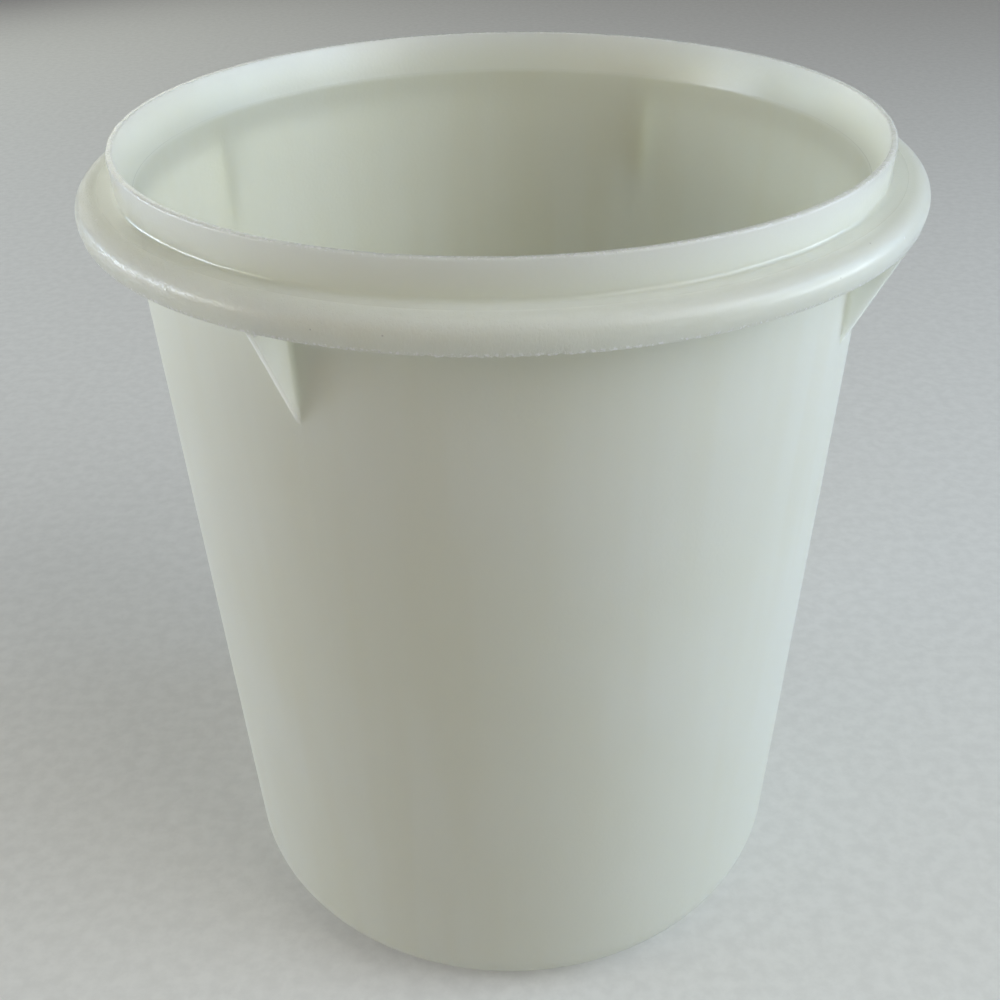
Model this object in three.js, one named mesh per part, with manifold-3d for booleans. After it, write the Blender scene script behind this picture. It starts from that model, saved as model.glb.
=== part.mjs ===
import * as THREE from 'three';
import { mergeVertices } from 'three/addons/utils/BufferGeometryUtils.js';
import Module from 'manifold-3d';

// A round food canister moulded in one piece, open at the top, with its press-on lid taken off.
// Millimetres, +Z up, -Y is the front. The origin is the middle of the base, on the surface it stands on.

// Wall and base of the canister
const canisterHeight = 245;
const wallThickness = 2.2;
const wallDraft = 3.4;
const baseFilletRadius = 23.5;

// Lip that the lid presses on to, standing on a shelf around the mouth. Outside it is undercut for the lid's
// grip, and inside it tapers down to the wall
const lipRadius = 101.5;
const lipThickness = 2.2;
const lipHeight = 9.5;
const lipEdgeRadius = 0.6;
const lipStandOut = 2.4;
const lipFootFillet = 1.2;
const lipUndercut = 0.8;
const lipTaperDrop = 1.8;

// Flange: the flat shelf outside the lip, the roll that turns down from it and a short skirt
const shelfWidth = 4.9;
const flangeThickness = 2.1;
const rollInnerRadius = 2.6;
const skirtDrop = 3.3;
const skirtTuck = 0.8;
const flangeRootFillet = 1.5;

// Gussets between the flange and the wall
const gussetCount = 4;
const gussetFirstAngle = 60.8;
const gussetThickness = 1.4;
const gussetHeight = 34.1;
const gussetSetBack = 0.3;

// Lid
const lidThickness = 1.6;
const lidLipClearance = 0.3;
const lidShelfClearance = 0.5;
const lidPanelLift = 1;
const lidCornerRadius = 2.4;
const lidGripWidth = 2.6;
const lidTabLength = 13;
const lidTabWidth = 26;
const lidTabAngle = 50;

// The lid lies flat behind the canister, this far clear of the flange
const lidRestGap = 10;

// Facets around the axis, and steps along the arcs of a section
const facetsAround = 64;
const baseArcSteps = 8;
const rollArcSteps = 5;
const edgeArcSteps = 3;

const radians = THREE.MathUtils.degToRad;

const shelfTop = canisterHeight - lipHeight;
const shelfUnder = shelfTop - flangeThickness;
const taperFoot = shelfTop - lipTaperDrop;
const lipInnerRadius = lipRadius - lipThickness;
const rollOuterRadius = rollInnerRadius + flangeThickness;
const rollCentreRadius = lipRadius + shelfWidth;
const rollCentreHeight = shelfUnder - rollInnerRadius;
const flangeRadius = rollCentreRadius + rollOuterRadius;
const skirtBottom = rollCentreHeight - skirtDrop;
const skirtOuterRadius = flangeRadius - skirtTuck;
const wallSlope = Math.tan(radians(wallDraft));

// Radius of the wall's outside at a height, on the straight line that it is drafted along
function wallRadius(z) {
  return lipRadius - lipStandOut - (canisterHeight - z) * wallSlope;
}

// Radius of the wall's inside at a height
function wallInnerRadius(z) {
  return wallRadius(z) - wallThickness / Math.cos(radians(wallDraft));
}

// Points of an arc in the section plane, from one angle to another in degrees
function arc(centreR, centreZ, radius, from, to, steps) {
  const points = [];
  for (let i = 0; i <= steps; i += 1) {
    const angle = radians(from + ((to - from) * i) / steps);
    points.push(new THREE.Vector2(centreR + radius * Math.cos(angle), centreZ + radius * Math.sin(angle)));
  }
  return points;
}

function point(r, z) {
  return new THREE.Vector2(r, z);
}

// A section turned around the Z axis
function turned(section) {
  return new THREE.LatheGeometry(section, facetsAround).rotateX(Math.PI / 2);
}

// A flat plate standing in the plane of the axis, turned to its place around it
function radialPlate(outline, thickness, angle) {
  const shape = new THREE.Shape(outline);
  const plate = new THREE.ExtrudeGeometry(shape, { depth: thickness, bevelEnabled: false });
  plate.translate(0, 0, -thickness / 2);
  return plate.rotateX(Math.PI / 2).rotateZ(radians(angle));
}

const wasm = await Module();
wasm.setup();

// A closed geometry as a solid, without the empty triangles where a section meets the axis
function solidOf(geometry) {
  const bare = geometry.clone();
  bare.deleteAttribute('normal');
  bare.deleteAttribute('uv');
  const mergeDistance = 1e-3;
  const merged = mergeVertices(bare, mergeDistance);
  const corners = merged.index.array;
  const triangles = [];
  for (let i = 0; i < corners.length; i += 3) {
    const [a, b, c] = corners.slice(i, i + 3);
    if (a !== b && b !== c && c !== a) {
      triangles.push(a, b, c);
    }
  }
  return new wasm.Manifold(new wasm.Mesh({
    numProp: 3,
    vertProperties: new Float32Array(merged.attributes.position.array),
    triVerts: new Uint32Array(triangles),
  }));
}

function geometryOf(solid) {
  const mesh = solid.getMesh();
  const geometry = new THREE.BufferGeometry();
  geometry.setAttribute('position', new THREE.BufferAttribute(mesh.vertProperties, 3));
  geometry.setIndex(new THREE.BufferAttribute(mesh.triVerts, 1));
  geometry.computeVertexNormals();
  return geometry;
}

// Section of the canister, from the middle of the base round the outside and back along the inside
function canisterSection() {
  const filletSpread = (1 - Math.sin(radians(wallDraft))) / Math.cos(radians(wallDraft));
  const filletCentreRadius = wallRadius(0) - baseFilletRadius * filletSpread;
  const innerFilletRadius = baseFilletRadius - wallThickness;
  const rootCentreHeight = shelfUnder - flangeRootFillet;
  const rootCentreRadius = wallRadius(rootCentreHeight) + flangeRootFillet;
  const lipEdgeCentre = canisterHeight - lipEdgeRadius;
  const lipFootCentre = lipRadius - lipUndercut + lipFootFillet;
  return [
    point(0, 0),
    ...arc(filletCentreRadius, baseFilletRadius, baseFilletRadius, -90, -wallDraft, baseArcSteps),
    ...arc(rootCentreRadius, rootCentreHeight, flangeRootFillet, 180, 90, edgeArcSteps),
    ...arc(rollCentreRadius, rollCentreHeight, rollInnerRadius, 90, 0, rollArcSteps),
    point(skirtOuterRadius - flangeThickness, skirtBottom),
    point(skirtOuterRadius, skirtBottom),
    ...arc(rollCentreRadius, rollCentreHeight, rollOuterRadius, 0, 90, rollArcSteps),
    ...arc(lipFootCentre, shelfTop + lipFootFillet, lipFootFillet, 270, 180, edgeArcSteps),
    ...arc(lipRadius - lipEdgeRadius, lipEdgeCentre, lipEdgeRadius, 0, 90, edgeArcSteps),
    ...arc(lipInnerRadius + lipEdgeRadius, lipEdgeCentre, lipEdgeRadius, 90, 180, edgeArcSteps),
    point(wallInnerRadius(taperFoot), taperFoot),
    ...arc(filletCentreRadius, baseFilletRadius, innerFilletRadius, -wallDraft, -90, baseArcSteps),
    point(0, wallThickness),
  ];
}

// Outline of one gusset: it fills the flange's hollow, and its free edge runs straight
// from the skirt's outer edge to the wall. The other edges are buried halfway into the plastic.
function gussetOutline() {
  const tipHeight = shelfUnder - gussetHeight;
  const rootTop = shelfUnder - flangeRootFillet;
  const buriedInWall = wallThickness / 2;
  const buriedInRoll = flangeThickness / 2;
  const skirtEdge = point(skirtOuterRadius - gussetSetBack, skirtBottom);
  const tip = point(wallRadius(tipHeight), tipHeight);
  const slant = tip.clone().sub(skirtEdge);
  const buriedTip = tip.clone().addScaledVector(slant, -buriedInWall / slant.x);
  return [
    point(wallRadius(rootTop) - buriedInWall, rootTop),
    point(wallRadius(rootTop) + flangeRootFillet, shelfUnder + buriedInRoll),
    ...arc(rollCentreRadius, rollCentreHeight, rollInnerRadius + buriedInRoll, 90, 0, rollArcSteps),
    skirtEdge,
    buriedTip,
  ];
}

function canisterBody() {
  let body = solidOf(turned(canisterSection()));
  for (let i = 0; i < gussetCount; i += 1) {
    const angle = gussetFirstAngle + (i * 360) / gussetCount;
    body = body.add(solidOf(radialPlate(gussetOutline(), gussetThickness, angle)));
  }
  return geometryOf(body);
}

// How much the lip's inside narrows for each millimetre down
const lipTaper = (lipInnerRadius - wallInnerRadius(taperFoot)) / (canisterHeight - taperFoot);

const grooveInnerRadius = lipInnerRadius - lidLipClearance;
const grooveOuterRadius = lipRadius + lidLipClearance;
const grooveDepth = lipHeight - lidShelfClearance;
const lidSkirtRadius = grooveOuterRadius + lidThickness;
const lidRadius = lidSkirtRadius + lidGripWidth;
const lidTop = grooveDepth + lidThickness;
const lidDishRadius = grooveInnerRadius - lidThickness;
const plugFootRadius = grooveInnerRadius - lipTaper * (grooveDepth - lidPanelLift);
const dishFootRadius = plugFootRadius - lidThickness;

// Section of the lid, standing on its skirt: sunken panel, tapered plug, groove for the lip, skirt and grip
function lidSection() {
  const panelTop = lidPanelLift + lidThickness;
  const gripRound = lidThickness / 2;
  const rimRound = lidThickness;
  const dishCorner = lidCornerRadius;
  return [
    point(0, lidPanelLift),
    ...arc(plugFootRadius - dishCorner, lidPanelLift + dishCorner, dishCorner, -90, 0, edgeArcSteps),
    point(grooveInnerRadius, grooveDepth),
    point(grooveOuterRadius, grooveDepth),
    point(grooveOuterRadius, 0),
    ...arc(lidRadius - gripRound, gripRound, gripRound, -90, 90, edgeArcSteps),
    point(lidSkirtRadius, lidThickness),
    ...arc(lidSkirtRadius - rimRound, lidTop - rimRound, rimRound, 0, 90, edgeArcSteps),
    ...arc(lidDishRadius + rimRound, lidTop - rimRound, rimRound, 90, 180, edgeArcSteps),
    ...arc(dishFootRadius - dishCorner, panelTop + dishCorner, dishCorner, 0, -90, edgeArcSteps),
    point(0, panelTop),
  ];
}

// Thumb tab with a round end, growing out of the lid's grip edge
function lidTab() {
  const half = lidTabWidth / 2;
  const rootRadius = lidSkirtRadius - lidThickness / 2;
  const endRadius = lidRadius + lidTabLength;
  const outline = new THREE.Shape();
  outline.moveTo(rootRadius, -half);
  outline.quadraticCurveTo(endRadius, -half, endRadius, 0);
  outline.quadraticCurveTo(endRadius, half, rootRadius, half);
  const tab = new THREE.ExtrudeGeometry(outline, {
    depth: lidThickness,
    bevelEnabled: false,
    curveSegments: baseArcSteps,
  });
  return tab.rotateZ(radians(lidTabAngle));
}

function pressOnLid() {
  return geometryOf(solidOf(turned(lidSection())).add(solidOf(lidTab())));
}

function plastic(colour) {
  return new THREE.MeshStandardMaterial({ color: colour, roughness: 0.45, metalness: 0 });
}

const canister = new THREE.Group();

const body = new THREE.Mesh(canisterBody(), plastic(0xd8d7c6));
body.name = 'canister_body';
canister.add(body);

const lid = new THREE.Mesh(pressOnLid(), plastic(0xdcdccb));
lid.name = 'press_on_lid';
lid.position.set(0, flangeRadius + lidRestGap + lidRadius, 0);
canister.add(lid);

export default canister;
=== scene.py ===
import math

import bmesh
import bpy
from mathutils import Matrix, Vector, noise


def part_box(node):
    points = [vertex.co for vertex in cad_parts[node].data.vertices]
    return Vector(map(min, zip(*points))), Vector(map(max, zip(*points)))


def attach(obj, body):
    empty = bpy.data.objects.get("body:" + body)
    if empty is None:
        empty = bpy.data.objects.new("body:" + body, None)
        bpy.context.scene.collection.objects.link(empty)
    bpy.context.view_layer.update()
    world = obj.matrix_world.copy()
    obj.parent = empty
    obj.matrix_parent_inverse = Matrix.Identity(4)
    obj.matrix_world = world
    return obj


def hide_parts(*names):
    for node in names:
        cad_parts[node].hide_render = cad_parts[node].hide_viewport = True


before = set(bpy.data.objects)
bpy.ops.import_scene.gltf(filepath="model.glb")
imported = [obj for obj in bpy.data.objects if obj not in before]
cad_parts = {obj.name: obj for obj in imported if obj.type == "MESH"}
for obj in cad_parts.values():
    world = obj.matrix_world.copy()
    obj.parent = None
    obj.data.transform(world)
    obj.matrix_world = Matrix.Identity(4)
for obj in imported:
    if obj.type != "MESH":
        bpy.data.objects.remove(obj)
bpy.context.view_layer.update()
scene = bpy.context.scene
scene.view_settings.view_transform = 'Standard'
fullTurn = 2 * math.pi
upAxis = Vector((0, 0, 1))
middle = Vector((0, 0, 0))
print("frame loaded:", ", ".join(sorted(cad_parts)))


# camera: fitted to the rims, the wall's edges and the base as they stand in the picture
cameraValues = {
    "inFront": 0.35608,      # metres from the canister's axis
    "height": 0.34367,
    "tiltDown": 31.312,      # degrees
    "panRight": -0.349,
    "roll": -1.156,
    "focalLength": 48.6,     # mm
    "sensorWidth": 36,
}


def makeCamera(values):
    data = bpy.data.cameras.new("camera")
    data.sensor_fit = 'HORIZONTAL'
    data.sensor_width = values["sensorWidth"]
    data.lens = values["focalLength"]
    camera = bpy.data.objects.new("camera", data)
    pan = Matrix.Rotation(math.radians(-values["panRight"]), 4, 'Z')
    tilt = Matrix.Rotation(math.radians(90 - values["tiltDown"]), 4, 'X')
    roll = Matrix.Rotation(math.radians(values["roll"]), 4, 'Z')
    place = Matrix.Translation((0, -values["inFront"], values["height"]))
    camera.matrix_world = place @ pan @ tilt @ roll
    scene.collection.objects.link(camera)
    scene.camera = camera
    print("camera placed")


# mesh helpers

def roundedCorner(bm, vert, radius, segments):
    before, after = [edge.other_vert(vert).co - vert.co for edge in vert.link_edges]
    tangentLength = radius / math.tan(before.angle(after) / 2)
    bmesh.ops.bevel(bm, geom=[vert], offset=tangentLength, affect='VERTICES',
                    segments=segments, profile=0.5, material=-1)


# a section given as corners (radius, height, rounding, segments), turned around the Z axis
def turnedSolid(corners, columns, startAngle=0.0):
    bm = bmesh.new()
    verts = [bm.verts.new((corner[0], 0, corner[1])) for corner in corners]
    for below, above in zip(verts, verts[1:]):
        bm.edges.new((below, above))
    for vert, corner in zip(verts, corners):
        if len(corner) > 2:
            roundedCorner(bm, vert, corner[2], corner[3])
    bmesh.ops.rotate(bm, verts=bm.verts[:], cent=middle, matrix=Matrix.Rotation(startAngle, 3, 'Z'))
    bmesh.ops.spin(bm, geom=bm.verts[:] + bm.edges[:], cent=middle, axis=upAxis,
                   angle=fullTurn, steps=columns, use_merge=True)
    bmesh.ops.remove_doubles(bm, verts=bm.verts[:], dist=1e-6)
    bmesh.ops.recalc_face_normals(bm, faces=bm.faces[:])
    return bm


def pieceFrom(bm, name, material, sharpAngle=40):
    mesh = bpy.data.meshes.new(name)
    bm.to_mesh(mesh)
    bm.free()
    mesh.shade_smooth()
    mesh.set_sharp_from_angle(angle=math.radians(sharpAngle))
    mesh.materials.append(material)
    piece = bpy.data.objects.new(name, mesh)
    scene.collection.objects.link(piece)
    return piece


def radiusOf(point):
    return math.hypot(point.x, point.y)


def angleOff(point, angle):
    away = math.atan2(point.y, point.x) - angle
    return (away + math.pi) % fullTurn - math.pi


# node helpers: a value may be a number or another node's output

def feed(tree, socket, value):
    if isinstance(value, bpy.types.NodeSocket):
        tree.links.new(value, socket)
    else:
        socket.default_value = value


def calc(tree, operation, *values):
    node = tree.nodes.new('ShaderNodeMath')
    node.operation = operation
    for socket, value in zip(node.inputs, values):
        feed(tree, socket, value)
    return node.outputs[0]


# smooth step from 0 to 1 as a value goes from one number to another
def fade(tree, value, start, end, low=0.0, high=1.0):
    node = tree.nodes.new('ShaderNodeMapRange')
    node.interpolation_type = 'SMOOTHSTEP'
    for socket, setting in zip(node.inputs, (value, start, end, low, high)):
        feed(tree, socket, setting)
    return node.outputs[0]


# the colour sockets of a Mix node come after those for numbers and vectors
def mixColour(tree, factor, first, second):
    node = tree.nodes.new('ShaderNodeMix')
    node.data_type = 'RGBA'
    for socket, value in zip((node.inputs[0], node.inputs[6], node.inputs[7]), (factor, first, second)):
        feed(tree, socket, value)
    return node.outputs[2]


def grain(tree, vector, scale, detail=2.0, roughness=0.5, distortion=0.0):
    node = tree.nodes.new('ShaderNodeTexNoise')
    feed(tree, node.inputs["Vector"], vector)
    node.inputs["Scale"].default_value = scale
    node.inputs["Detail"].default_value = detail
    node.inputs["Roughness"].default_value = roughness
    node.inputs["Distortion"].default_value = distortion
    return node.outputs["Fac"]


def stretched(tree, vector, scale):
    node = tree.nodes.new('ShaderNodeMapping')
    feed(tree, node.inputs["Vector"], vector)
    node.inputs["Scale"].default_value = scale
    return node.outputs[0]


def moved(tree, vector, centre):
    node = tree.nodes.new('ShaderNodeMapping')
    feed(tree, node.inputs["Vector"], vector)
    node.inputs["Location"].default_value = [-part for part in centre]
    return node.outputs[0]


# distance from the Z axis, height and angle around it
def turnedPlace(tree, vector):
    parts = tree.nodes.new('ShaderNodeSeparateXYZ')
    feed(tree, parts.inputs[0], vector)
    x, y, z = parts.outputs
    squares = calc(tree, 'ADD', calc(tree, 'MULTIPLY', x, x), calc(tree, 'MULTIPLY', y, y))
    return calc(tree, 'SQRT', squares), z, calc(tree, 'ARCTAN2', y, x)


# small separate spots: a share of the cells has one, the rest stay bare
def flecks(tree, vector, scale, size, bareShare):
    node = tree.nodes.new('ShaderNodeTexVoronoi')
    feed(tree, node.inputs["Vector"], vector)
    node.inputs["Scale"].default_value = scale
    spot = fade(tree, node.outputs["Distance"], size * 0.5, size, 1.0, 0.0)
    chance = tree.nodes.new('ShaderNodeSeparateXYZ')
    feed(tree, chance.inputs[0], node.outputs["Color"])
    return calc(tree, 'MULTIPLY', spot, calc(tree, 'GREATER_THAN', chance.outputs[0], bareShare))


def bumped(tree, height, strength, distance):
    node = tree.nodes.new('ShaderNodeBump')
    node.inputs["Strength"].default_value = strength
    node.inputs["Distance"].default_value = distance
    feed(tree, node.inputs["Height"], height)
    return node.outputs[0]


def emptyMaterial(name):
    material = bpy.data.materials.new(name)
    material.use_nodes = True
    tree = material.node_tree
    tree.nodes.clear()
    shader = tree.nodes.new('ShaderNodeBsdfPrincipled')
    output = tree.nodes.new('ShaderNodeOutputMaterial')
    tree.links.new(shader.outputs[0], output.inputs["Surface"])
    place = tree.nodes.new('ShaderNodeTexCoord').outputs["Object"]
    return material, tree, shader, place


# canister: one moulding of milky plastic. Sizes in metres, angles in degrees
canisterValues = {
    "wallDraft": 3.4,
    "wallThickness": 0.0022,
    "baseRound": 0.0235,         # outside radius where the wall turns into the base
    "lipRadius": 0.1015,
    "lipThickness": 0.0018,      # at its top
    "lipHeight": 0.0095,
    "lipEdgeRound": 0.0006,
    "lipStandOut": 0.0024,       # how far the lip stands outside the wall's own line
    "lipFootRound": 0.0012,
    "lipUndercut": 0.0008,       # its outside leans in to the foot, for the lid's grip
    "taperDrop": 0.0018,         # the lip's inside tapers to the wall this far below the shelf
    "taperFootRound": 0.006,
    "flangeThickness": 0.0021,
    "rollRadius": 0.0047,        # outside radius of the flange's roll
    "skirtDrop": 0.0033,         # short skirt below the roll
    "skirtTuck": 0.0008,
    "skirtEdgeRound": 0.0004,
    "flangeRootRound": 0.0015,
    "gussetCount": 4,
    "gussetFirstAngle": 60.8,
    "gussetHeight": 0.0341,
    "gussetRootRound": 0.0012,
    "gussetTipShare": 0.16,      # lowest part of the root, left sharp
    "gussetEdgeRound": 0.00045,
    "columns": 432,              # around the axis: one column is as wide as a gusset
    "segments": {                # steps along the rounds
        "base": 24, "roll": 16, "rollInside": 9, "flangeRoot": 5, "skirtInside": 3, "skirtOutside": 4,
        "lipFoot": 6, "lipEdge": 5, "taperFoot": 6, "gussetEdge": 4, "gussetRoot": 6,
    },
    "nickDepth": 0.0006,         # ragged lower edge of the skirt, at the front
    "nickHeight": 0.0014,        # how far up the skirt it is torn
    "nickCuts": 3,               # extra columns there
    "biteScale": (75, 160),      # wide and narrow bites
    "narrowBite": 0.6,           # as a share of the wide ones
    "burrOut": 0.0005,           # torn bits that stand out from it
    "burrScale": (190, 900),
    "nickAngle": 265,
    "nickReach": 18,             # degrees to either side
    "dentDepth": 0.00016,        # small knocks along the lip
    "dentScale": (260, 600),     # wide and fine knocks
    "dentLevel": (0.2, 0.3),     # the higher, the fewer knocks
}


# heights and radii that follow from the values above and from the solid's box
def canisterSizes(values):
    low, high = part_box("canister_body")
    sizes = dict(values)
    slope = math.tan(math.radians(values["wallDraft"]))
    spread = values["wallThickness"] / math.cos(math.radians(values["wallDraft"]))
    topLine = values["lipRadius"] - values["lipStandOut"]
    sizes["base"] = low.z
    sizes["top"] = high.z
    sizes["flangeRadius"] = high.x
    sizes["shelfTop"] = high.z - values["lipHeight"]
    sizes["shelfUnder"] = sizes["shelfTop"] - values["flangeThickness"]
    sizes["skirtBottom"] = sizes["shelfTop"] - values["rollRadius"] - values["skirtDrop"]
    sizes["skirtRadius"] = sizes["flangeRadius"] - values["skirtTuck"]
    sizes["gussetTip"] = sizes["shelfUnder"] - values["gussetHeight"]
    sizes["wallOutside"] = lambda z: topLine - (high.z - z) * slope
    sizes["wallInside"] = lambda z: topLine - (high.z - z) * slope - spread
    return sizes


def canisterCorners(s):
    tuck = s["skirtTuck"] / s["skirtDrop"]
    skirtInside = s["skirtRadius"] - s["flangeThickness"]
    rollCorner = s["skirtRadius"] + tuck * (s["shelfTop"] - s["skirtBottom"])
    rollInsideCorner = skirtInside + tuck * (s["shelfUnder"] - s["skirtBottom"])
    rollInside = s["rollRadius"] - s["flangeThickness"]
    lipInside = s["lipRadius"] - s["lipThickness"]
    taperFoot = s["shelfTop"] - s["taperDrop"]
    floorTop = s["base"] + s["wallThickness"]
    edge, skirtEdge = s["lipEdgeRound"], s["skirtEdgeRound"]
    steps = s["segments"]
    return [
        (0, s["base"]),
        (s["wallOutside"](s["base"]), s["base"], s["baseRound"], steps["base"]),
        (s["wallOutside"](s["gussetTip"]), s["gussetTip"]),
        (s["wallOutside"](s["shelfUnder"]), s["shelfUnder"], s["flangeRootRound"], steps["flangeRoot"]),
        (rollInsideCorner, s["shelfUnder"], rollInside, steps["rollInside"]),
        (skirtInside, s["skirtBottom"], skirtEdge, steps["skirtInside"]),
        (s["skirtRadius"], s["skirtBottom"], skirtEdge, steps["skirtOutside"]),
        (rollCorner, s["shelfTop"], s["rollRadius"], steps["roll"]),
        (s["lipRadius"] - s["lipUndercut"], s["shelfTop"], s["lipFootRound"], steps["lipFoot"]),
        (s["lipRadius"], s["top"], edge, steps["lipEdge"]),
        (lipInside, s["top"], edge, steps["lipEdge"]),
        (s["wallInside"](taperFoot), taperFoot, s["taperFootRound"], steps["taperFoot"]),
        (s["wallInside"](floorTop), floorTop, s["baseRound"] - s["wallThickness"], steps["base"]),
        (0, floorTop),
    ]


# a gusset takes one column: its strip under the flange is opened and closed again further out
def addGusset(bm, s, angle):
    halfColumn = fullTurn / s["columns"] / 2
    rollStart = s["lipRadius"] + s["rollRadius"]
    slack = 0.0002
    leastOutward = 0.3      # faces of the roll look outward more than this

    def inHollow(face):
        centre = face.calc_center_median()
        radius = radiusOf(centre)
        outward = (face.normal.x * centre.x + face.normal.y * centre.y) / radius
        underFlange = s["gussetTip"] < centre.z < s["shelfUnder"] + slack
        outside = radius > s["wallOutside"](centre.z) - slack
        onRoll = radius > rollStart and outward > leastOutward
        return underFlange and outside and not onRoll

    column = [f for f in bm.faces if abs(angleOff(f.calc_center_median(), angle)) < halfColumn / 2]
    strip = [face for face in column if inHollow(face)]
    rims = {edge for face in strip for edge in face.edges
            if sum(f in strip for f in edge.link_faces) == 1}
    ends = [e for e in rims
            if abs(angleOff((e.verts[0].co + e.verts[1].co) / 2, angle)) < halfColumn / 2]
    sides = [[], []]
    for edge in rims - set(ends):
        sides[angleOff(edge.verts[0].co, angle) > 0].append(edge)
    bmesh.ops.delete(bm, geom=strip, context='FACES')
    slants = []
    for side in sides:
        made = bmesh.ops.contextual_create(bm, geom=side)
        slants += [edge for face in made["faces"] for edge in face.edges if edge not in side]
    bmesh.ops.contextual_create(bm, geom=slants + ends)
    bm.normal_update()
    return slants


# hollow edges where the gussets stand on the wall, from a little above their tips
def gussetRoots(bm, s):
    aboveTip = s["gussetTip"] + s["gussetTipShare"] * s["gussetHeight"]
    hollowAngle = -0.8      # radians, below zero where two faces make a hollow

    def isRoot(edge):
        middleHeight = sum(vert.co.z for vert in edge.verts) / 2
        underFlange = aboveTip < middleHeight < s["shelfUnder"]
        onWall = all(radiusOf(vert.co) < s["lipRadius"] for vert in edge.verts)
        hollow = edge.is_manifold and edge.calc_face_angle_signed() < hollowAngle
        return underFlange and onWall and hollow

    roots = [edge for edge in bm.edges if isRoot(edge)]
    for edge in roots:
        low, high = sorted(edge.verts, key=lambda vert: vert.co.z)
        if high.co.z - low.co.z > s["gussetHeight"] / 2:
            bmesh.utils.edge_split(edge, low, s["gussetTipShare"])
    return roots


# the skirt's lower edge is torn in small bites and burrs where it has been knocked
def tearSkirt(bm, s):
    reach = math.radians(s["nickReach"])
    angle = math.radians(s["nickAngle"])
    skirtInside = s["skirtRadius"] - s["flangeThickness"]
    slack = 0.0002

    def nearEdge(point):
        atEdge = point.z < s["skirtBottom"] + s["nickHeight"] and radiusOf(point) > skirtInside - slack
        return atEdge and abs(angleOff(point, angle)) < reach

    rows = [e for e in bm.edges if abs(e.verts[0].co.z - e.verts[1].co.z) < 1e-6
            and abs(radiusOf(e.verts[0].co) - radiusOf(e.verts[1].co)) < 1e-6
            and all(nearEdge(v.co) for v in e.verts)]
    bmesh.ops.subdivide_edges(bm, edges=rows, cuts=s["nickCuts"], use_grid_fill=True)
    wide, narrow = s["biteScale"]
    along, across = s["burrScale"]
    for vert in bm.verts:
        if not nearEdge(vert.co):
            continue
        outward = Vector((vert.co.x, vert.co.y, 0)).normalized()
        fadeOut = 1 - (angleOff(vert.co, angle) / reach) ** 4
        bite = noise.noise(outward * wide) + s["narrowBite"] * noise.noise(outward * narrow)
        depth = s["nickDepth"] * fadeOut * max(0.0, bite)
        burr = max(0.0, noise.noise(outward * along) + noise.noise(vert.co * across))
        vert.co.z += depth
        vert.co += outward * s["burrOut"] * fadeOut * burr


# small knocks along the top of the lip
def knockLip(bm, s):
    wideScale, fineScale = s["dentScale"]
    wideLevel, fineLevel = s["dentLevel"]
    for vert in bm.verts:
        if vert.co.z > s["top"] - s["lipEdgeRound"]:
            along = Vector((vert.co.x, vert.co.y, 0))
            wide = max(0.0, noise.noise(along * wideScale) - wideLevel)
            fine = max(0.0, noise.noise(along * fineScale) - fineLevel)
            vert.co.z -= s["dentDepth"] * (2 * wide + fine)


def makeCanister(values, material):
    s = canisterSizes(values)
    halfColumn = fullTurn / s["columns"] / 2
    firstAngle = math.radians(s["gussetFirstAngle"])
    bm = turnedSolid(canisterCorners(s), s["columns"], firstAngle - halfColumn)
    slants = []
    for i in range(s["gussetCount"]):
        slants += addGusset(bm, s, firstAngle + i * fullTurn / s["gussetCount"])
    bmesh.ops.bevel(bm, geom=slants, offset=s["gussetEdgeRound"], affect='EDGES',
                    segments=s["segments"]["gussetEdge"], profile=0.5, material=-1)
    bm.normal_update()
    roots = gussetRoots(bm, s)
    bmesh.ops.bevel(bm, geom=roots, offset=s["gussetRootRound"], affect='EDGES',
                    segments=s["segments"]["gussetRoot"], profile=0.5, material=-1)
    tearSkirt(bm, s)
    knockLip(bm, s)
    bmesh.ops.recalc_face_normals(bm, faces=bm.faces[:])
    piece = pieceFrom(bm, "canister", material)
    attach(piece, "canister")
    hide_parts("canister_body")
    print("canister made:", len(piece.data.polygons), "faces")


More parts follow.
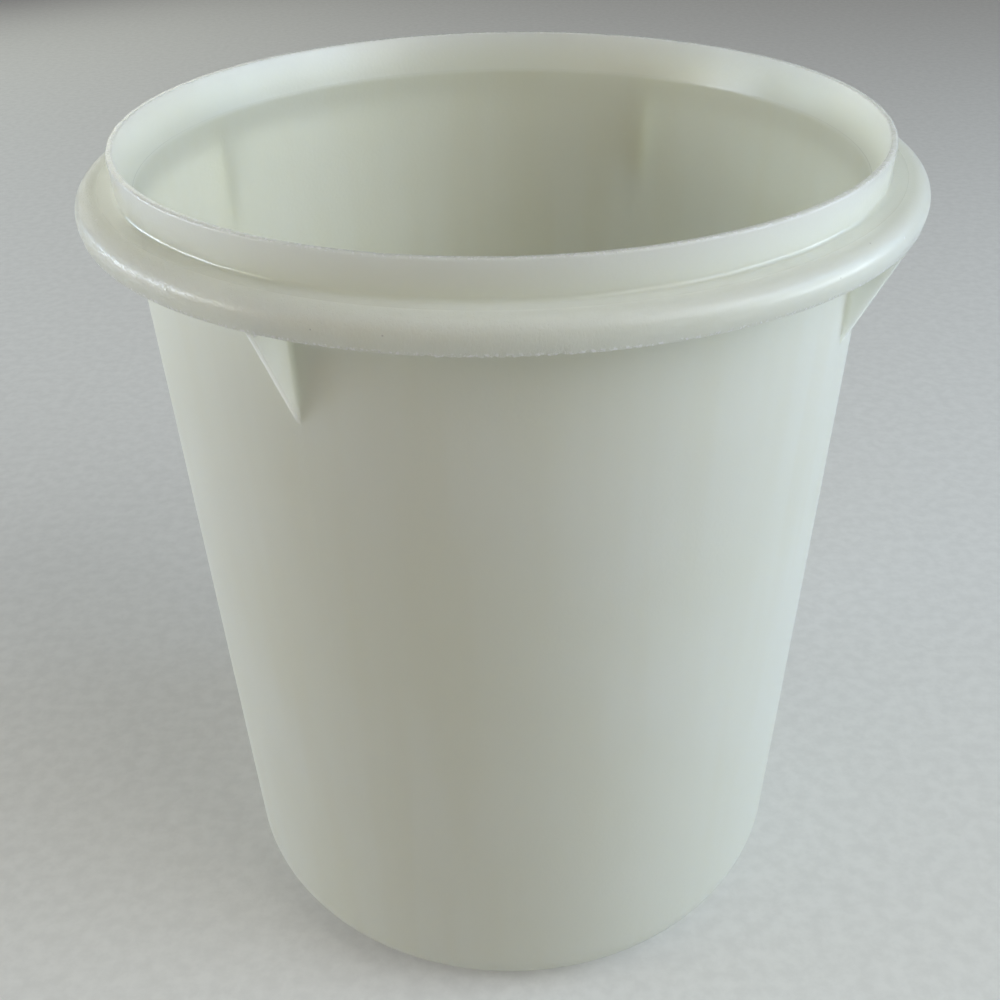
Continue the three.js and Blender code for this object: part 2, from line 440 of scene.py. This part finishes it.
# finish of the milky plastic, shared by canister and lid: satin, and scratched and nicked around the rim
def milkyPlastic(name, look):
    material, tree, shader, place = emptyMaterial(name)
    place = moved(tree, place, look["centre"])
    radius, height, angle = turnedPlace(tree, place)
    outside, above = fade(tree, radius, *look["rimOutside"]), fade(tree, height, *look["rimAbove"])
    rim = calc(tree, 'MULTIPLY', outside, above)
    flange = calc(tree, 'MULTIPLY', fade(tree, radius, *look["flangeOutside"]), above)
    lip = fade(tree, height, *look["lipAbove"])
    lipAndFlange = calc(tree, 'MAXIMUM', lip, flange)

    clouds = grain(tree, place, look["cloudScale"], detail=2.0, roughness=0.55)
    colour = mixColour(tree, fade(tree, clouds, *look["cloudFade"]), look["milk"], look["ivory"])
    flow = grain(tree, stretched(tree, place, look["flowScale"]), scale=1.0, detail=1.0)
    colour = mixColour(tree, fade(tree, flow, *look["flowFade"]), colour, look["warm"])
    # painted glow: the lip is made paler for the light that shines through it
    colour = mixColour(tree, lip, colour, look["clear"])

    # rubbed patches of fine scratches, only on the rim
    sideways = calc(tree, 'ABSOLUTE', calc(tree, 'SINE', calc(tree, 'ADD', angle, look["rubbedTurn"])))
    patches = fade(tree, calc(tree, 'ADD', sideways, clouds), *look["rubbedShare"])
    streaks = grain(tree, stretched(tree, place, look["streakScale"]), scale=1.0,
                    detail=2.0, roughness=0.7, distortion=0.8)
    scratches = fade(tree, streaks, *look["streakFade"])
    rubbed = calc(tree, 'MULTIPLY', calc(tree, 'MULTIPLY', scratches, patches), rim)

    # nicks that have gone white, mostly along the edges, which are whitened by use and carry a painted
    # highlight line, and a few specks of dirt
    skirtEdge = calc(tree, 'MULTIPLY', fade(tree, height, *look["wornAndHighlitBelow"]), rim)
    edges = calc(tree, 'MAXIMUM', skirtEdge, fade(tree, height, *look["wornAndHighlitAbove"], 0.0, look["lipWearAndGlint"]))
    nicks = calc(tree, 'MULTIPLY', flecks(tree, place, *look["nickSpots"]), rim)
    wearAndGlintNoise = grain(tree, place, look["wornAndHighlitScale"], detail=2.0, roughness=0.6)
    # painted highlight: this band along the skirt's lower edge and the lip's top edge is whitened by use
    # and also stands for the edges catching the light
    wornAndHighlit = calc(tree, 'MULTIPLY', fade(tree, wearAndGlintNoise, *look["wornAndHighlitShare"]), edges)
    white = calc(tree, 'MAXIMUM', calc(tree, 'MULTIPLY', nicks, look["nickWhite"]), wornAndHighlit)
    colour = mixColour(tree, white, colour, look["scuffAndHighlight"])
    specks = calc(tree, 'MULTIPLY', flecks(tree, place, *look["dirtSpots"]), rim)
    colour = mixColour(tree, calc(tree, 'MULTIPLY', specks, look["dirtShare"]), colour, look["dirt"])
    feed(tree, shader.inputs["Base Color"], colour)

    roughness = fade(tree, lipAndFlange, 0.0, 1.0, look["wallRoughness"], look["lipRoughness"])
    roughness = calc(tree, 'ADD', roughness, calc(tree, 'MULTIPLY', flange, look["flangeRougher"]))
    lipInside = calc(tree, 'MULTIPLY', lip, fade(tree, radius, *look["lipInside"]))
    roughness = calc(tree, 'ADD', roughness, calc(tree, 'MULTIPLY', lipInside, look["lipInsideRougher"]))
    roughness = calc(tree, 'ADD', roughness, calc(tree, 'MULTIPLY', rubbed, look["rubbedRougher"]))
    feed(tree, shader.inputs["Roughness"], roughness)
    feed(tree, shader.inputs["Specular IOR Level"],
         fade(tree, lipAndFlange, 0.0, 1.0, look["wallGloss"], look["lipGloss"]))

    # relief: faint orange peel, with the scratches and nicks cut in and the edge band, whitened by use
    # and painted with a highlight line, standing out
    peel = calc(tree, 'MULTIPLY', grain(tree, place, look["peelScale"], detail=1.0), look["peelDepth"])
    marks = calc(tree, 'ADD', calc(tree, 'MULTIPLY', rubbed, look["rubbedDepth"]),
                 calc(tree, 'MULTIPLY', nicks, look["nickDepth"]))
    marks = calc(tree, 'SUBTRACT', marks, calc(tree, 'MULTIPLY', wornAndHighlit, look["wornAndHighlitDepth"]))
    relief = calc(tree, 'SUBTRACT', peel, marks)
    feed(tree, shader.inputs["Normal"], bumped(tree, relief, 1.0, look["reliefDepth"]))

    # light goes into the plastic and spreads there, except where it is white: the nicks and the edges
    # whitened by use and painted with a highlight line
    shader.inputs["IOR"].default_value = look["refraction"]
    shader.subsurface_method = 'RANDOM_WALK'
    opaque = calc(tree, 'MULTIPLY', white, look["whiteOpaque"])
    feed(tree, shader.inputs["Subsurface Weight"], calc(tree, 'SUBTRACT', 1.0, opaque))
    shader.inputs["Subsurface Radius"].default_value = look["scatter"]
    feed(tree, shader.inputs["Subsurface Scale"],
         fade(tree, lipAndFlange, 0.0, 1.0, look["wallScatter"], look["rimScatter"]))
    return material


canisterLook = {
    "milk": (0.79, 0.806, 0.69, 1),
    "ivory": (0.77, 0.781, 0.655, 1),
    "warm": (0.75, 0.743, 0.60, 1),
    "clear": (0.81, 0.828, 0.715, 1),     # the thin lip, painted paler: a painted glow of the light that shines through it
    # white of the nicks and of the edges whitened by use, also the colour of the painted highlight line
    # along the edges
    "scuffAndHighlight": (0.97, 0.97, 0.92, 1),
    "dirt": (0.34, 0.32, 0.26, 1),
    "cloudScale": 14,
    "wallRoughness": 0.46,
    "lipRoughness": 0.12,
    "flangeRougher": 0.18,
    "lipInsideRougher": 0.16,
    "wallGloss": 0.5,
    "lipGloss": 0.55,
    "scatter": (1.0, 0.97, 0.88),
    "wallScatter": 0.009,
    "rimScatter": 0.011,
    "centre": (0, 0, 0),
    "lipAbove": (0.2325, 0.2345),
    "lipInside": (0.1005, 0.0998),       # metres from the axis
    "flangeOutside": (0.1012, 0.1064),
    "rimOutside": (0.1052, 0.1066),      # the flange's roll and skirt, where it is marked by use
    "rimAbove": (0.2262, 0.2266),
    "rubbedTurn": 0.7,                   # radians
    "rubbedShare": (0.85, 1.45),
    "wornAndHighlitBelow": (0.2287, 0.2280),       # the skirt's lower edge: whitened by use, and a painted highlight line
    "wornAndHighlitAbove": (0.2445, 0.2450),       # the lip's top edge: whitened by use, and a painted highlight line
    "wornAndHighlitShare": (0.5, 0.6),
    "wornAndHighlitScale": 1100,
    "wornAndHighlitDepth": 0.6,
    "lipWearAndGlint": 0.8,                      # as a share of the skirt's
    "cloudFade": (0.35, 0.65),
    "flowScale": (95, 95, 7),            # faint upright flow lines
    "flowFade": (0.4, 0.7, 0.0, 0.35),
    "streakScale": (2000, 1300, 800),
    "streakFade": (0.5, 0.62),
    "rubbedRougher": 0.3,
    "rubbedDepth": 0.2,
    "nickSpots": (260, 0.15, 0.86),      # scale, size, share of the cells left bare
    "nickWhite": 0.6,
    "nickDepth": 0.3,
    "dirtSpots": (330, 0.11, 0.9),
    "dirtShare": 0.5,
    "peelScale": 900,
    "peelDepth": 0.1,
    "reliefDepth": 0.0003,               # metres
    "refraction": 1.5,
    "whiteOpaque": 0.8,
}
lidLook = dict(canisterLook, milk=(0.80, 0.817, 0.71, 1), wallRoughness=0.4, centre=(0, 0.2271, 0),
               lipAbove=(0.0090, 0.0100), lipInside=(0.0990, 0.0980), flangeOutside=(0.0990, 0.1000),
               rimOutside=(0.0950, 0.0970), rimAbove=(-0.001, 0.0005), wornAndHighlitBelow=(0.0006, 0.0002),
               wornAndHighlitAbove=(0.0104, 0.0106))


# lid: lies flat behind the canister
lidValues = {
    "thickness": 0.0016,
    "grooveIn": 0.0990,          # the groove that grips the lip
    "grooveOut": 0.1018,
    "grooveTop": 0.0090,
    "panelLift": 0.001,
    "cornerRound": 0.0024,
    "plugTaper": 0.0021,         # the plug narrows with the inside of the lip
    "gripWidth": 0.0026,
    "gripRound": 0.00045,
    "tabLength": 0.013,
    "tabWidth": 0.026,
    "tabAngle": 50,
    "tabMargin": 0.0002,         # where the tab runs out into the edge
    "grooveRound": 0.0004,
    "skirtEdgeRound": 0.0003,
    "gripRootRound": 0.0005,
    "rimRound": 0.0016,
    "segments": {"corner": 6, "groove": 3, "skirtEdge": 3, "grip": 4, "gripRoot": 4, "rim": 7},
    "columns": 720,
}


# thumb tab: the grip edge is drawn out, with a round end
def drawTab(bm, values, radius):
    tabTurn = Matrix.Rotation(math.radians(values["tabAngle"]), 3, 'Z')
    half = values["tabWidth"] / 2
    root = radius - values["gripWidth"] - values["thickness"] / 2
    reach = radius + values["tabLength"] - root

    def tabEdge(point):
        turned = tabTurn.transposed() @ point
        spread = abs(turned.y) / half
        if spread > 1 or turned.x < 0:
            return turned, -radius
        along = 1 - math.sqrt(1 - spread)
        return turned, root + reach * (1 - along * along)

    def onTab(face):
        if radiusOf(face.calc_center_median()) < radius - values["gripRound"]:
            return False
        places = [tabEdge(vert.co) for vert in face.verts]
        return all(edge > turned.x + values["tabMargin"] for turned, edge in places)

    grip = [face for face in bm.faces if onTab(face)]
    drawn = bmesh.ops.extrude_face_region(bm, geom=grip)
    for vert in drawn["geom"]:
        if isinstance(vert, bmesh.types.BMVert):
            turned, edge = tabEdge(vert.co)
            inset = radius - radiusOf(vert.co)      # keeps the round of the edge
            vert.co = tabTurn @ Vector((edge - inset, turned.y, turned.z))
    bmesh.ops.delete(bm, geom=grip, context='FACES')


def makeLid(values, material):
    low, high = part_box("press_on_lid")
    thickness = values["thickness"]
    grooveIn, grooveOut, grooveTop = values["grooveIn"], values["grooveOut"], values["grooveTop"]
    skirt = grooveOut + thickness
    radius = (high.y - low.y) / 2
    top = grooveTop + thickness
    dish = grooveIn - thickness
    panelTop = values["panelLift"] + thickness
    plugFoot = grooveIn - values["plugTaper"]
    steps = values["segments"]
    grooveRound, gripRound, rimRound = values["grooveRound"], values["gripRound"], values["rimRound"]
    corners = [
        (0, values["panelLift"]),
        (plugFoot, values["panelLift"], values["cornerRound"], steps["corner"]),
        (grooveIn, grooveTop, grooveRound, steps["groove"]),
        (grooveOut, grooveTop, grooveRound, steps["groove"]),
        (grooveOut, 0, values["skirtEdgeRound"], steps["skirtEdge"]),
        (radius, 0, gripRound, steps["grip"]),
        (radius, thickness, gripRound, steps["grip"]),
        (skirt, thickness, values["gripRootRound"], steps["gripRoot"]),
        (skirt, top, rimRound, steps["rim"]),
        (dish, top, rimRound, steps["rim"]),
        (plugFoot - thickness, panelTop, values["cornerRound"], steps["corner"]),
        (0, panelTop),
    ]
    bm = turnedSolid(corners, values["columns"])
    drawTab(bm, values, radius)
    bmesh.ops.recalc_face_normals(bm, faces=bm.faces[:])
    bmesh.ops.translate(bm, verts=bm.verts[:], vec=(0, low.y + radius, low.z))
    piece = pieceFrom(bm, "lid", material)
    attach(piece, "lid")
    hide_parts("press_on_lid")
    print("lid made:", len(piece.data.polygons), "faces")


# floor, light and surroundings
stageValues = {
    "floorSize": 4.0,
    "floorPale": (0.72, 0.72, 0.71, 1),
    "floorShade": (0.66, 0.66, 0.65, 1),
    "floorGlow": 0.12,           # only as the camera sees it
    "floorRoughness": 0.9,
    "fibreScale": 180,
    "fibreFade": (0.3, 0.7),
    "fibreBump": (0.05, 0.001),  # strength and metres
    "background": (0.55, 0.55, 0.54, 1),
    "reflected": (0.20, 0.19, 0.18, 1),  # the room as it shows in the gloss
    "fill": (1.0, 0.6, 0.3, 1),  # faint light from all round
    "fillStrength": 0.035,
    "lampDistance": 1.5,
    "lampAim": (0, 0, 0.12),
    "lamps": {                   # degrees round from +X, degrees up, width, height, watts, tint
        "front right": (-35, 42, 1.0, 1.0, 7.4, (1.0, 1.0, 0.95)),
        "front left": (225, 25, 1.0, 1.0, 1.0, (1.0, 0.5, 0.2)),
        "right window": (-17, 15, 1.3, 0.5, 4.0, (0.84, 0.94, 1.0)),
        "right low": (-6, 5, 1.0, 0.25, 5.3, (0.74, 0.87, 1.0)),
        "right high": (-12, 31, 1.2, 0.32, 4.2, (0.5, 0.71, 1.0)),
        "right back": (14, 14, 0.7, 0.5, 1.8, (0.5, 0.74, 1.0)),
        "left window": (183, 14, 0.55, 0.3, 4.6, (0.68, 0.81, 1.0)),
        "left low": (168, 4, 0.8, 0.25, 4.0, (0.88, 0.93, 1.0)),
        "left back": (155, 8, 0.6, 0.3, 2.2, (0.6, 0.79, 1.0)),
        "left front": (196, 14, 0.6, 0.4, 3.0, (1.0, 0.98, 0.78)),
        "behind": (120, 16, 1.0, 0.6, 2.0, (0.95, 1.0, 0.88)),
        "overhead": (0, 85, 1.0, 1.0, 3.1, (0.94, 1.0, 0.85)),
    },
}


def makeFloor(values):
    material, tree, shader, place = emptyMaterial("paper floor")
    fibres = grain(tree, place, values["fibreScale"], detail=4.0, roughness=0.6)
    shade = fade(tree, fibres, *values["fibreFade"])
    feed(tree, shader.inputs["Base Color"],
         mixColour(tree, shade, values["floorPale"], values["floorShade"]))
    feed(tree, shader.inputs["Normal"], bumped(tree, fibres, *values["fibreBump"]))
    shader.inputs["Roughness"].default_value = values["floorRoughness"]
    shader.inputs["Emission Color"].default_value = values["floorPale"]
    path = tree.nodes.new('ShaderNodeLightPath')
    feed(tree, shader.inputs["Emission Strength"],
         calc(tree, 'MULTIPLY', path.outputs["Is Camera Ray"], values["floorGlow"]))
    bm = bmesh.new()
    bmesh.ops.create_grid(bm, x_segments=8, y_segments=8, size=values["floorSize"])
    floor = pieceFrom(bm, "floor", material)


def makeLamp(name, values):
    around, up, width, tall, power, tint = values["lamps"][name]
    data = bpy.data.lights.new(name, 'AREA')
    data.shape = 'RECTANGLE'
    data.size = width
    data.size_y = tall
    data.energy = power
    data.color = tint
    lamp = bpy.data.objects.new(name, data)
    turn = Matrix.Rotation(math.radians(around), 3, 'Z') @ Matrix.Rotation(math.radians(-up), 3, 'Y')
    aim = Vector(values["lampAim"])
    away = turn @ Vector((values["lampDistance"], 0, 0))
    lamp.location = aim + away
    lamp.rotation_euler = (-away).to_track_quat('-Z', 'Y').to_euler()
    scene.collection.objects.link(lamp)


def makeSurroundings(values):
    world = bpy.data.worlds.new("pale room")
    scene.world = world
    world.use_nodes = True
    tree = world.node_tree
    tree.nodes.clear()
    light = tree.nodes.new('ShaderNodeBackground')
    light.inputs["Color"].default_value = values["fill"]
    light.inputs["Strength"].default_value = values["fillStrength"]
    seen = tree.nodes.new('ShaderNodeBackground')
    path = tree.nodes.new('ShaderNodeLightPath')
    feed(tree, seen.inputs["Color"],
         mixColour(tree, path.outputs["Is Camera Ray"], values["reflected"], values["background"]))
    shown = calc(tree, 'MAXIMUM', path.outputs["Is Camera Ray"], path.outputs["Is Glossy Ray"])
    mix = tree.nodes.new('ShaderNodeMixShader')
    output = tree.nodes.new('ShaderNodeOutputWorld')
    tree.links.new(shown, mix.inputs[0])
    tree.links.new(light.outputs[0], mix.inputs[1])
    tree.links.new(seen.outputs[0], mix.inputs[2])
    tree.links.new(mix.outputs[0], output.inputs[0])
    for name in values["lamps"]:
        makeLamp(name, values)
    print("floor and light set")


makeCamera(cameraValues)
makeCanister(canisterValues, milkyPlastic("canister plastic", canisterLook))
makeLid(lidValues, milkyPlastic("lid plastic", lidLook))
makeFloor(stageValues)
makeSurroundings(stageValues)
